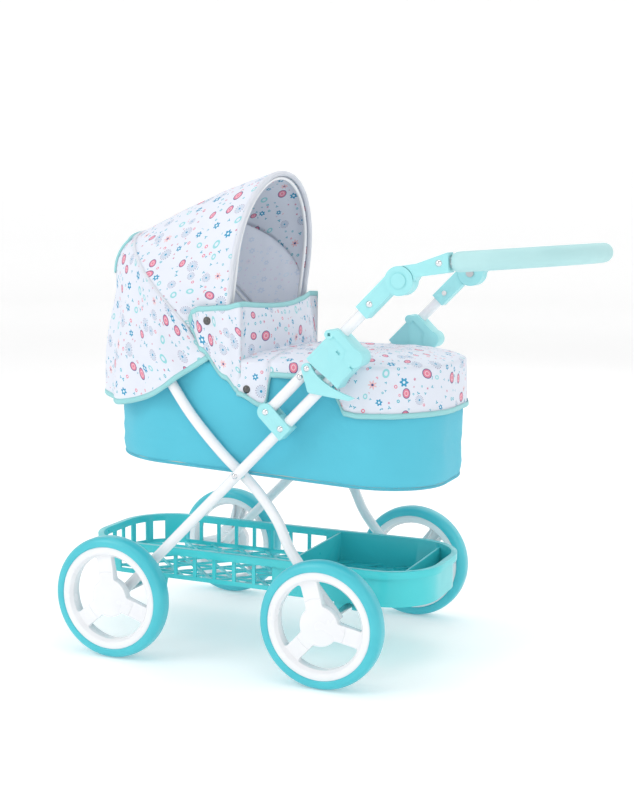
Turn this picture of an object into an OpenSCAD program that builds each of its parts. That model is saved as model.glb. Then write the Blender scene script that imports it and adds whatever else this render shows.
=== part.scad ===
// Doll pram: X-frame chassis on four spoked wheels, fabric cot with hood and
// apron, moulded basket, and a push handle that folds and tilts.
// X runs to the rear, where the child walks, Z is up, and the floor is Z = 0.

/* [Wheels] */
// Outer diameter of the tyres
wheel_d = 165; // [155:1:175]
// Width of a tyre
tyre_w = 27.6; // [24:0.2:30]
// Distance between the middles of the left and right tyres
track = 357.4; // [350:0.2:370]
// Distance between the front and rear axles
wheelbase = 304.8; // [295:0.2:315]
// Diameter of both axles
axle_d = 8; // [7:0.5:9]

/* [Frame tubes] */
// Outer diameter of the leg and handle tubes
tube_d = 14; // [12:0.5:15]
// Wall of the tubes
tube_wall = 1.2; // [0.8:0.1:2]
// Distance of the outer legs and the handle tubes from the middle plane
outer_y = 150; // [148:0.5:152]
// Distance of the inner bent legs from the middle plane
inner_y = 132.5; // [131:0.5:133]
// Slope of the handle tubes and the outer legs, in degrees
frame_slope = 45.5; // [44:0.1:47]
// Gap between the axes of a handle tube and its outer leg
tube_gap = 29; // [27:0.5:31]

/* [Cot] */
// Half of the cot's width
cot_b = 124; // [118:1:124]
// Half of the cot's length
cot_a = 237; // [225:1:245]
// Height of the cot's upper edge
rim_z = 402; // [396:1:408]
// Height of the cot's bottom below its middle
cot_bottom = 254; // [248:1:262]
// Slope of the cot's bottom, in degrees
cot_tilt = 2.3; // [0:0.1:3]

/* [Hood] */
// Height of the front bow above its pivot
bow_h = 257; // [244:1:260]
// Angle of the front bow from level, in degrees
bow_front = 83; // [80:1:88]
// Angle of the rear bow from level, in degrees
bow_rear = 135; // [130:1:140]

/* [Handle] */
// Radius of the handle loop, at the middle of its tube
loop_r = 148; // [146:0.5:150]
// Diameter of the foam grip
grip_d = 25; // [22:1:28]
// Radius of the hinge discs
disc_r = 18; // [16:0.5:20]

/* [Basket] */
// Half of the basket's width at its rim
basket_b = 101; // [95:1:105]
// Height of the basket's rim
basket_z = 136.5; // [134:0.5:140]

/* [Hidden] */
$fn = 96;

// Middle of the wheelbase, measured from the part's origin
mid_x = -102;
// Side-view point: x from the middle of the wheelbase, z from the floor
function at(x, z) = [mid_x + x, z];
function along(p, a, d) = [p[0] + d * cos(a), p[1] + d * sin(a)];
function dist(p, q) = norm(q - p);
function slope(p, q) = atan2(q[1] - p[1], q[0] - p[0]);
// Place on the handle tube: u up along the tube, v to the lower rear
function on_tube(u, v) = along(along(pivot, frame_slope, u), frame_slope - 90, v);

axle_z = wheel_d / 2;
front_axle = at(-wheelbase / 2, axle_z);
rear_axle = at(wheelbase / 2, axle_z);
wheel_y = track / 2;
rim_r = wheel_d / 2 - 12.6;
rim_in_r = 59;
hub_in_y = 161.5;
hub_r = 17;
axle_half = 183;
running = 0.08;

// The lower bracket rivet lies on the outer leg, the pivot one gap above it
leg_rivet = along(front_axle, frame_slope, 338);
pivot = along(leg_rivet, frame_slope + 90, tube_gap);
leg_end = along(leg_rivet, frame_slope, 96);
bend = [at(-107, 397), at(-54, 325), at(34, 243), at(84, 163), rear_axle];
elbow = 1.4;
cross_t = leg_line(bend[1]) / (leg_line(bend[1]) - leg_line(bend[2]));
cross = bend[1] + cross_t * (bend[2] - bend[1]);
// Height of a point above the axis of the outer leg
function leg_line(p) = (p[1] - front_axle[1]) * cos(frame_slope)
    - (p[0] - front_axle[0]) * sin(frame_slope);
pin_d = 5;

// Sleeve and catch, in places on the handle tube
sleeve_u0 = 91;
sleeve_u1 = 139;
sleeve_half = 13;
catch_u = 82.4;
leg_sweep = dist(pivot, leg_end) + 3.4;

// Tilt hinge
disc = on_tube(245.3, 6.5);
arm_in = 138;
arm_out = 162;
disc_in = 149.8;
disc_out = 150.2;
loop_tilt = 4.4;
loop_end = at(302, 537.5);
bar_d = 14;
button_r = 9.2;
gear_r = 11;
gear_in = 147.5;
gear_out = 152.5;
web_in = 153.7;
web_out = 155.5;
recess_in = 142.6;
button_travel = 3;
bolt_d = 6;
prong_d = 4;

cot_x = 28;
cot_corner = 100;
cot_wall = 2.5;
frame_rod = 8;
hood_pivot = at(-19, 393);
bow_rod = 5;
bow_front_r = 118.5;
bow_rear_r = 112;
bow_rear_h = 238;
canopy_gap = 3.2;
skirt_z = 341;
skirt_gap = 0.8;
cloth = 2.6;
curtain_x = mid_x - 78;

basket_front = -257;
basket_rear = 262;
basket_floor = 92;
tray_front = 66;
tray_divider = 220;
wall = 3;
rib_pitch = 30;

white = "#E8E8EA";
aqua = "#A0E2E4";
turquoise = "#4CC3CF";
steel = "#B8BCC0";
gunmetal = "#5B5A58";
blue = "#5BC3DB";
print = "#E4E8F4";

// Extrudes a side-view outline across the object, from y0 to y1
module slab(y0, y1) {
    translate([0, y1, 0]) rotate([90, 0, 0]) linear_extrude(y1 - y0) children();
}

// Round bar across the object at a side-view point
module cross_bar(p, y0, y1, d) {
    translate([p[0], y1, p[1]]) rotate([90, 0, 0]) cylinder(h = y1 - y0, d = d);
}

// Straight round bar in the side plane y, from p to q
module bar(p, q, y, d) {
    translate([p[0], y, p[1]])
        rotate([0, 90 - slope(p, q), 0])
            cylinder(h = dist(p, q), d = d);
}

// Everything is modelled for the right side (+Y) and mirrored for the left
module left() {
    mirror([0, 1, 0]) children();
}

module both() {
    children();
    left() children();
}

// Ring across the object
module ring(p, y0, y1, d_in, d_out) {
    difference() {
        cross_bar(p, y0, y1, d_out);
        cross_bar(p, y0 - 1, y1 + 1, d_in);
    }
}

// Rounded dome head, its flat side at y0, bulging to +Y
module dome(p, y0, d, h) {
    big = (d * d / 4 + h * h) / (2 * h);
    intersection() {
        translate([p[0], y0 + h - big, p[1]]) sphere(r = big);
        cross_bar(p, y0, y0 + h + 1, d);
    }
}

// Rivet with a dome at its outer end and a flat head inside
module rivet(p, y0, y1, d, head) {
    cross_bar(p, y0, y1, d);
    dome(p, y1, head, head * 0.3);
    cross_bar(p, y0 - 1, y0, head * 0.8);
}

// Rounded rectangle in plan
module plan(x0, x1, b, r) {
    translate([x0 + r, -b]) square([x1 - x0 - 2 * r, 2 * b]);
    translate([x0, -b + r]) square([x1 - x0, 2 * (b - r)]);
    for (x = [x0 + r, x1 - r], y = [-b + r, b - r]) translate([x, y]) circle(r);
}

// ---- Wheels ----

// Wheel moulding at a side-view point, spokes turned by turn
module rim(p, turn) {
    spoke_w = 27;
    color(white) difference() {
        union() {
            ring(p, wheel_y - 12.5, wheel_y + 12.5, 2 * rim_in_r, 2 * rim_r);
            for (k = [0:2]) {
                translate([p[0], 0, p[1]]) rotate([0, -turn - 120 * k, 0])
                    translate([0, wheel_y - 7, -spoke_w / 2])
                        cube([rim_in_r + 1, 15, spoke_w]);
            }
            cross_bar(p, hub_in_y, wheel_y + 7.6, 2 * hub_r);
            dome(p, wheel_y + 7.2, 44, 5.8);
        }
        cross_bar(p, hub_in_y - 1, axle_half + 1, axle_d + running);
        cross_bar(p, wheel_y - 3, wheel_y + 1, 17);
    }
}

// Tyre cross-section: flat against the rim, rounded outside
function tyre_outline() =
    let (w = tyre_w / 2, r0 = rim_r, r1 = wheel_d / 2, e = 8)
    concat(
        [[r0, -w], [r0, w]],
        [for (a = [90:-15:0]) [r1 - e + e * cos(a), w - e + e * sin(a)]],
        [for (a = [0:-15:-90]) [r1 - e + e * cos(a), -w + e + e * sin(a)]]
    );

module tyre(p) {
    color(turquoise) translate([p[0], wheel_y, p[1]]) rotate([90, 0, 0])
        rotate_extrude() polygon(tyre_outline());
}

module rim_front_left() left() rim(front_axle, 100);
module rim_front_right() rim(front_axle, 75);
module rim_rear_left() left() rim(rear_axle, 107);
module rim_rear_right() rim(rear_axle, 52);
module tyre_front_left() left() tyre(front_axle);
module tyre_front_right() tyre(front_axle);
module tyre_rear_left() left() tyre(rear_axle);
module tyre_rear_right() tyre(rear_axle);

module axle_front() color(steel) cross_bar(front_axle, -axle_half, axle_half, axle_d);
module axle_rear() color(steel) cross_bar(rear_axle, -axle_half, axle_half, axle_d);

// Steel rings pressed on the axle ends, each turning free in its hub
module wheel_retainers() {
    color(steel) both() for (p = [front_axle, rear_axle])
        ring(p, wheel_y - 1.8, wheel_y - 0.2, axle_d, 14);
}

// Spacers between a leg and its wheel
module spacer(p, y0) {
    color(white) both() ring(p, y0, hub_in_y - 0.3, axle_d, 15);
}

module front_spacers() spacer(front_axle, outer_y + tube_d / 2 + 0.2);
module rear_spacers() spacer(rear_axle, inner_y + tube_d / 2 + 0.2);

// ---- Legs ----

// Solid round bar that follows points, each stretch running past the bend
module bent_bar(pts, y, d) {
    for (i = [0:len(pts) - 2]) {
        a = slope(pts[i], pts[i + 1]);
        past = [i == 0 ? 0 : elbow, i == len(pts) - 2 ? 0 : elbow];
        bar(along(pts[i], a, -past[0]), along(pts[i + 1], a, past[1]), y, d);
    }
}

module leg_outer() {
    start = along(front_axle, frame_slope, -9);
    color(white) difference() {
        bar(start, leg_end, outer_y, tube_d);
        bar(along(start, frame_slope, -1), along(leg_end, frame_slope, 1),
            outer_y, tube_d - 2 * tube_wall);
        cross_bar(front_axle, outer_y - 20, outer_y + 20, axle_d);
        for (p = [cross, leg_rivet]) cross_bar(p, outer_y - 20, outer_y + 20, pin_d);
    }
}

module leg_inner() {
    low = along(rear_axle, slope(bend[3], rear_axle), 9);
    over = along(rear_axle, slope(bend[3], rear_axle), 10);
    top = along(bend[0], slope(bend[0], bend[1]), -1);
    color(white) difference() {
        bent_bar([bend[0], bend[1], bend[2], bend[3], low], inner_y, tube_d);
        bent_bar([top, bend[1], bend[2], bend[3], over], inner_y,
                 tube_d - 2 * tube_wall);
        cross_bar(rear_axle, inner_y - 20, inner_y + 20, axle_d);
        cross_bar(cross, inner_y - 20, inner_y + 20, pin_d);
        cross_bar(cot_rivet, inner_y - 20, inner_y + 20, pin_d);
    }
}

module leg_outer_left() left() leg_outer();
module leg_outer_right() leg_outer();
module leg_inner_left() left() leg_inner();
module leg_inner_right() leg_inner();

module cross_rivets() {
    color(steel) both()
        rivet(cross, inner_y - tube_d / 2, outer_y + tube_d / 2, pin_d, 8);
}

module cross_washers() {
    color(aqua) both()
        ring(cross, inner_y + tube_d / 2 + 0.1, outer_y - tube_d / 2 - 0.1, pin_d, 13);
}

// ---- Folding bracket and handle tubes ----

// Clevis that holds the outer leg and carries the handle tube's pivot
module bracket() {
    cheek = 3;
    half = tube_d / 2 + 0.15;
    color(aqua) difference() {
        slab(outer_y - half - cheek, outer_y + half + cheek) {
            translate(pivot) circle(11);
            translate(pivot) rotate(frame_slope - 90) translate([0, -11])
                square([tube_gap + 10, 22]);
        }
        bar(along(leg_rivet, frame_slope, -30), along(leg_rivet, frame_slope, 30),
            outer_y, tube_d);
        slab(outer_y - half, outer_y + half) translate(pivot)
            rotate(frame_slope - 90) translate([-12, -12]) square([tube_gap - 1.5, 24]);
        for (p = [pivot, leg_rivet]) cross_bar(p, outer_y - 20, outer_y + 20, pin_d);
    }
}

module bracket_left() left() bracket();
module bracket_right() bracket();

// The lower rivet runs on inwards to the side of the cot
module bracket_rivets() {
    color(steel) both() rivet(leg_rivet, cot_b + 1.2, outer_y + 10.15, pin_d, 8.6);
}

module handle_pivot_pins() {
    color(steel) both() rivet(pivot, outer_y - 10.15, outer_y + 10.15, pin_d, 8.6);
}

module handle_tube() {
    start = on_tube(-7, 0);
    stop = on_tube(222, 0);
    color(white) difference() {
        bar(start, stop, outer_y, tube_d);
        bar(on_tube(-8, 0), on_tube(223, 0), outer_y, tube_d - 2 * tube_wall);
        cross_bar(pivot, outer_y - 20, outer_y + 20, pin_d + running);
        for (u = [66, catch_u, 198])
            cross_bar(on_tube(u, 0), outer_y - 20, outer_y + 20, pin_d);
    }
}

module handle_tube_left() left() handle_tube();
module handle_tube_right() handle_tube();

module tube_rivets() {
    color(steel) both()
        rivet(on_tube(66, 0), outer_y - tube_d / 2, outer_y + tube_d / 2, pin_d, 8);
}

// Lock sleeve fixed on the handle tube, with a pocket for the leg's end
module sleeve() {
    v1 = 43;
    color(aqua) difference() {
        union() {
            slab(outer_y - sleeve_half, outer_y + sleeve_half) {
                polygon([on_tube(sleeve_u0, -9), on_tube(sleeve_u1, -9),
                         on_tube(sleeve_u1, v1), on_tube(sleeve_u0 + 16, v1),
                         on_tube(sleeve_u0 + 4, v1 + 3), on_tube(sleeve_u0 + 4, 34),
                         on_tube(sleeve_u0, 4)]);
            }
            slab(outer_y - sleeve_half - 2, outer_y + sleeve_half + 2) {
                polygon([on_tube(sleeve_u1 - 1, -11), on_tube(sleeve_u1 + 9, -5),
                         on_tube(sleeve_u1 + 9, 32), on_tube(sleeve_u1 - 1, 42)]);
                translate(on_tube(sleeve_u1 - 1, 34)) circle(12);
                translate(on_tube(sleeve_u1 - 4, -9)) circle(6);
            }
        }
        bar(on_tube(sleeve_u0 - 10, 0), on_tube(sleeve_u1 + 20, 0), outer_y, tube_d);
        // pocket that the leg's end swings out of
        intersection() {
            slab(outer_y - tube_d / 2 - 0.4, outer_y + tube_d / 2 + 0.4)
                polygon([on_tube(sleeve_u0 - 5, 20.5), on_tube(140, 20.5),
                         on_tube(140, 80), on_tube(sleeve_u0 - 5, 80)]);
            cross_bar(pivot, outer_y - 30, outer_y + 30, 2 * leg_sweep);
        }
        // eye in the ear and the two relief slots of the lobe
        translate([on_tube(sleeve_u1 - 4, -9)[0], 0, on_tube(sleeve_u1 - 4, -9)[1]])
            rotate([0, 45 - frame_slope, 0])
                translate([-2, outer_y + sleeve_half - 4, -2]) cube([4, 10, 4]);
        for (v = [12, 38])
            slab(outer_y + sleeve_half - 2.5, outer_y + sleeve_half + 3)
                polygon([on_tube(sleeve_u1 - 13, v), on_tube(sleeve_u1 - 10, v),
                         on_tube(sleeve_u1 - 10, v + 6), on_tube(sleeve_u1 - 13, v + 6)]);
    }
}

module sleeve_left() left() sleeve();
module sleeve_right() sleeve();

// Claw-shaped catch that turns on its pin outside the tubes
module catch() {
    y0 = outer_y + 9.4;
    y1 = outer_y + 13;
    claw = [for (t = [0:0.125:1]) catch_curve(t)];
    color(aqua) difference() {
        union() {
            slab(y0, y1) {
                translate(on_tube(catch_u, 0)) circle(7);
                translate(on_tube(67, 22)) circle(4);
                polygon(concat([on_tube(catch_u - 6.5, -2.5), on_tube(63.4, 20.5),
                                on_tube(63.7, 24.5), on_tube(96, 67), on_tube(103, 69.5)],
                               claw));
            }
            // thick tongue of the lever
            slab(outer_y + tube_d / 2 + 0.6, y0 + 0.5)
                polygon([on_tube(87, 50), on_tube(96, 66.6), on_tube(103, 69.5),
                         on_tube(99.5, 62), on_tube(94.5, 52), on_tube(92.5, 46)]);
        }
        cross_bar(on_tube(catch_u, 0), y0 - 1, y1 + 1, pin_d + running);
    }
}

// Hollow inner edge of the claw, from its tip back to the pin
function catch_curve(t) =
    let (a = on_tube(103, 69.5), b = on_tube(81, 26), c = on_tube(88.6, 3))
    (1 - t) * (1 - t) * a + 2 * t * (1 - t) * b + t * t * c;

module catch_left() left() catch();
module catch_right() catch();

module catch_pins() {
    color(steel) both()
        rivet(on_tube(catch_u, 0), outer_y - tube_d / 2, outer_y + 13.1, pin_d, 8);
}

// Two turns of torsion spring round each catch pin
module catch_springs() {
    color(steel) both() for (k = [0, 1])
        translate([on_tube(catch_u, 0)[0], outer_y + 7.7 + 1.02 * k, on_tube(catch_u, 0)[1]])
            rotate([90, 0, 0]) rotate_extrude() translate([3.4, 0]) circle(d = 1, $fn = 24);
}

// ---- Tilting handle ----

module hinge_lower() {
    color(aqua) difference() {
        union() {
            difference() {
                slab(outer_y - 10, outer_y + 10)
                    polygon([on_tube(183, -10), on_tube(238, -10), on_tube(248, 8),
                             on_tube(236, 18), on_tube(226, 10), on_tube(183, 10)]);
                cross_bar(disc, outer_y - 20, disc_out, 2 * disc_r + 1.2);
            }
            cross_bar(disc, disc_out, arm_out, 2 * disc_r);
        }
        bar(on_tube(180, 0), on_tube(222, 0), outer_y, tube_d);
        cross_bar(on_tube(198, 0), outer_y - 20, outer_y + 20, pin_d);
        cross_bar(disc, disc_out - 1, arm_out + 1, 6 + running);
        // well of the push button, splined seat of the lock gear, and the web between
        cross_bar(disc, web_out, arm_out + 1, 2 * button_r + running);
        gear_cut(disc_out - 1, web_in);
        cross_bar(disc, web_in - 1, web_out + 1, bolt_d);
        prongs(web_in - 1, web_out + 1, prong_d + 0.2);
    }
}

// Two round prongs, one on each side of the hinge's screw
module prongs(y0, y1, d) {
    for (s = [-1, 1]) cross_bar(along(disc, 90, 6 * s), y0, y1, d);
}

// Round seat with eight notches for the lock gear
module gear_cut(y0, y1) {
    cross_bar(disc, y0, y1, 2 * (gear_r - 2) + 0.2);
    teeth(y0, y1, gear_r + 0.1, 3.2);
}

// Eight teeth round the hinge's axis
module teeth(y0, y1, r, w) {
    root = gear_r - 4;
    for (k = [0:7])
        translate([disc[0], y0, disc[1]]) rotate([0, 45 * k, 0])
            translate([root, 0, -w / 2]) cube([r - root, y1 - y0, w]);
}

module lock_gear() {
    color(aqua) difference() {
        union() {
            cross_bar(disc, gear_in, gear_out, 2 * (gear_r - 2));
            teeth(gear_in, gear_out, gear_r - 0.2, 2.8);
        }
        cross_bar(disc, gear_in - 1, gear_out + 1, bolt_d + 0.6);
    }
}

// Push button, with two prongs that reach the lock gear through the web
module button() {
    color(aqua) {
        cross_bar(disc, web_out + button_travel + 0.1, arm_out + 1.6, 2 * button_r);
        prongs(gear_out, web_out + button_travel + 0.1, prong_d);
    }
}

module hinge_upper() {
    color(aqua) difference() {
        union() {
            cross_bar(disc, arm_in, disc_in, 2 * disc_r);
            difference() {
                slab(arm_in, arm_out - 1)
                    polygon([at(240, 532), at(262, 535.5), at(300.6, 549.5),
                             at(302.6, 525.5), at(262, 519.5), at(250, 500)]);
                cross_bar(disc, disc_in, arm_out + 1, 2 * disc_r + 1.2);
            }
        }
        loop_ring(bar_d, 20);
        cross_bar(hinge_rivet, outer_y - 20, outer_y + 20, pin_d);
        cross_bar(disc, arm_in - 1, disc_in + 1, bolt_d + running);
        // plain recess, so that the gear's teeth pass it
        cross_bar(disc, recess_in, disc_in + 1, 2 * gear_r + 0.8);
    }
}

hinge_rivet = along(loop_end, loop_tilt, -12);

module hinge_lower_left() left() hinge_lower();
module hinge_lower_right() hinge_lower();
module hinge_upper_left() left() hinge_upper();
module hinge_upper_right() hinge_upper();
module lock_gear_left() left() lock_gear();
module lock_gear_right() lock_gear();
module button_left() left() button();
module button_right() button();

module hinge_lower_rivets() {
    color(steel) both() rivet(on_tube(198, 0), outer_y - 10, outer_y + 10, pin_d, 8.6);
}

module hinge_upper_rivets() {
    color(steel) both() rivet(hinge_rivet, arm_in, arm_out - 1, pin_d, 8.6);
}

// Shoulder screw through both halves of the hinge, its head inside
module hinge_bolts() {
    color(steel) both() {
        cross_bar(disc, arm_in - 2.5, arm_in, 11);
        cross_bar(disc, arm_in, web_out - 0.1, bolt_d);
    }
}

// Coil spring that pushes the button and the gear outwards
module button_springs() {
    color(steel) both() for (k = [0:2])
        translate([disc[0], recess_in + 0.7 + 1.25 * k, disc[1]]) rotate([90, 0, 0])
            rotate_extrude() translate([5.5, 0]) circle(d = 1.1, $fn = 24);
}

// Half ring in the plane of the loop, each end longer by past degrees
module loop_ring(d, past) {
    translate([loop_end[0], 0, loop_end[1]]) rotate([0, -loop_tilt, 0])
        rotate([0, 0, -90 - past]) rotate_extrude(angle = 180 + 2 * past)
            translate([loop_r, 0]) circle(d = d);
}

module handle_bar() {
    color(steel) difference() {
        loop_ring(bar_d, 9);
        both() cross_bar(hinge_rivet, outer_y - 20, outer_y + 20, pin_d);
    }
}

module handle_grip() {
    color("#B5DEE0") difference() {
        loop_ring(grip_d, -1);
        loop_ring(bar_d, 2);
    }
}

// ---- Cot ----

cot_x0 = mid_x + cot_x - cot_a;
cot_x1 = mid_x + cot_x + cot_a;
cot_rivet = along(bend[0], slope(bend[0], bend[1]), 7);

// Everything above the sloping bottom of the cot, raised by lift
module above_bottom(lift) {
    intersection() {
        children();
        translate([mid_x + cot_x, 0, cot_bottom + lift]) rotate([0, cot_tilt, 0])
            translate([-400, -200, 0]) cube([800, 400, 400]);
    }
}

module cot_shell() {
    color(blue) difference() {
        above_bottom(0) linear_extrude(rim_z) plan(cot_x0, cot_x1, cot_b, cot_corner);
        above_bottom(cot_wall) linear_extrude(rim_z + 1)
            plan(cot_x0 + cot_wall, cot_x1 - cot_wall, cot_b - cot_wall, cot_corner - cot_wall);
        both() cross_bar(hood_pivot, cot_b - 10, cot_b + 5, 4);
        both() cross_bar(cot_rivet, cot_b - 10, cot_b + 5, pin_d);
    }
}

module cot_board() {
    gap = cot_wall + 0.6;
    color("#D9D2C0") difference() {
        above_bottom(cot_wall + 0.2) linear_extrude(rim_z - 20)
            plan(cot_x0 + gap, cot_x1 - gap, cot_b - gap, cot_corner - gap);
        above_bottom(cot_wall + 3.2) linear_extrude(rim_z)
            plan(cot_x0, cot_x1, cot_b, cot_corner);
    }
}

// Steel hoop inside the upper edge of the cot
module cot_frame() {
    inset = cot_wall + frame_rod / 2 + 0.3;
    x0 = cot_x0 + inset;
    x1 = cot_x1 - inset;
    b = cot_b - inset;
    r = cot_corner - inset;
    z = rim_z - frame_rod / 2 - 1;
    color(steel) difference() {
        union() {
            for (x = [0, 1], y = [0, 1])
                translate([x ? x1 - r : x0 + r, y ? b - r : r - b, z])
                    rotate([0, 0, x ? (y ? 0 : 270) : (y ? 90 : 180)])
                        rotate_extrude(angle = 90) translate([r, 0]) circle(d = frame_rod);
            for (y = [-b, b]) translate([x0 + r, y, z]) rotate([0, 90, 0])
                cylinder(h = x1 - x0 - 2 * r, d = frame_rod);
            for (x = [x0, x1]) translate([x, r - b, z]) rotate([-90, 0, 0])
                cylinder(h = 2 * (b - r), d = frame_rod);
        }
        both() cross_bar(hood_pivot, 60, cot_b + 5, 4);
        both() cross_bar(cot_rivet, 60, cot_b + 5, pin_d);
    }
}

// Rivets that hold the bent legs to the rim of the cot
module cot_rivets() {
    color(steel) both() cross_bar(cot_rivet, cot_b - 12, inner_y + 5, pin_d);
}

// ---- Hood ----

// Turns children from the upright plane X = 0 to a bow's angle at the pivot
module on_bow(angle) {
    translate([hood_pivot[0], 0, hood_pivot[1]]) rotate([0, 90 - angle, 0]) children();
}

// Bow: a half hoop on two straight legs with an eye at each end
module bow(angle, r, h) {
    eye = 5.5;
    color(white) on_bow(angle) difference() {
        union() {
            translate([0, 0, h - r]) rotate([0, -90, 0]) rotate([0, 0, -90])
                rotate_extrude(angle = 180) translate([r, 0]) circle(d = bow_rod);
            for (y = [-r, r]) {
                translate([0, y, 0]) cylinder(h = h - r, d = bow_rod);
                translate([0, y + bow_rod / 2, 0]) rotate([90, 0, 0])
                    cylinder(h = bow_rod, r = eye);
            }
        }
        translate([0, r + 5, 0]) rotate([90, 0, 0]) cylinder(h = 2 * r + 10, d = 4 + running);
    }
}

// The frame hoop of the cot lies between them, so the eyes stand inside it
module hood_bow_front() bow(bow_front, bow_front_r - 10, bow_h - 6);
module hood_bow_rear() bow(bow_rear, bow_rear_r - 10, bow_rear_h - 6);

module hood_pins() {
    color(gunmetal) both() rivet(hood_pivot, 97, cot_b, 4, 7);
}

// Flat slice of the hood in the plane of a bow, from height h0 up
module hoop_slice(angle, r, h, h0, t) {
    on_bow(angle) rotate([0, -90, 0]) linear_extrude(t, center = true)
        intersection() {
            union() {
                translate([h - r, 0]) circle(r, $fn = 48);
                translate([h0, -r]) square([h - r - h0, 2 * r]);
            }
            translate([h0, -r]) square([h, 2 * r]);
        }
}

// Space under the cloth between the bows, grown by g, from height low up
module hood_space(g, t, low) {
    hull() {
        hoop_slice(bow_front, bow_front_r + canopy_gap + g, bow_h + g, low, t);
        hoop_slice(bow_rear, bow_rear_r + canopy_gap + g, bow_rear_h + g, low, t);
    }
}

module hood_canopy() {
    color(print) difference() {
        hood_space(cloth, 2, 22);
        hood_space(0, 6, 19);
    }
}

// Space under the curtain, from the rear bow down over the end of the cot
module curtain_space(g, t, low) {
    // hangs outside the inner legs' upper ends
    end_r = cot_corner + inner_y + tube_d / 2 + 1.5 - cot_b + g;
    hull() {
        hoop_slice(bow_rear + 1.2, bow_rear_r + canopy_gap + g, bow_rear_h + g, 60, t);
        for (x = [cot_x0 + cot_corner - 2, curtain_x], y = [-1, 1])
            translate([x, y * (cot_b - cot_corner), low])
                cylinder(h = rim_z + 4 - low, r = end_r, $fn = 64);
    }
}

module hood_curtain() {
    color(print) difference() {
        curtain_space(cloth, 2, 349);
        curtain_space(0, 8, 330);
        // open towards the hood
        on_bow(bow_rear) translate([-1.3, -200, -300]) cube([400, 400, 700]);
        translate([curtain_x, -200, 300]) cube([200, 400, 300]);
    }
}

// ---- Apron ----

module apron() {
    g = skirt_gap + cloth;
    front = mid_x + 8;
    color(print) intersection() {
        difference() {
            translate([0, 0, skirt_z]) linear_extrude(rim_z + 4 + cloth - skirt_z)
                plan(cot_x0, cot_x1 + g, cot_b + g, cot_corner + g);
            translate([0, 0, skirt_z - 1]) linear_extrude(rim_z + 4 - skirt_z + 1)
                plan(cot_x0 - g, cot_x1 + skirt_gap, cot_b + skirt_gap, cot_corner + skirt_gap);
            // gaps in the skirt where the frame tubes pass
            both() slab(cot_b - 30, cot_b + 30)
                polygon([at(54, 300), at(54, 346), at(100, 392), at(150, 392), at(160, 300)]);
            both() slab(cot_b, cot_b + 30)
                polygon([at(-30, 300), at(-30, 420), at(4, 420), at(20, 340), at(20, 300)]);
        }
        translate([front, -200, 300]) cube([500, 400, 300]);
    }
}

// Upright flap that closes the lower part of the hood's mouth
module wind_flap() {
    y1 = cot_b + skirt_gap + cloth;
    color(print) {
        translate([mid_x + 8.4, -y1, rim_z + 7]) cube([cloth, 2 * y1, 72]);
        both() slab(y1 - cloth + 0.6, y1)
            polygon([at(8.4, 409), at(8.4, 478), at(-58, 462), at(-56, 444), at(-20, 409)]);
    }
}

module snaps() {
    y0 = cot_b + skirt_gap + cloth;
    color(gunmetal) both() for (p = [at(-36, 454), at(22, 367)]) dome(p, y0 + 0.05, 11, 3.2);
}

// ---- Basket ----

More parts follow.
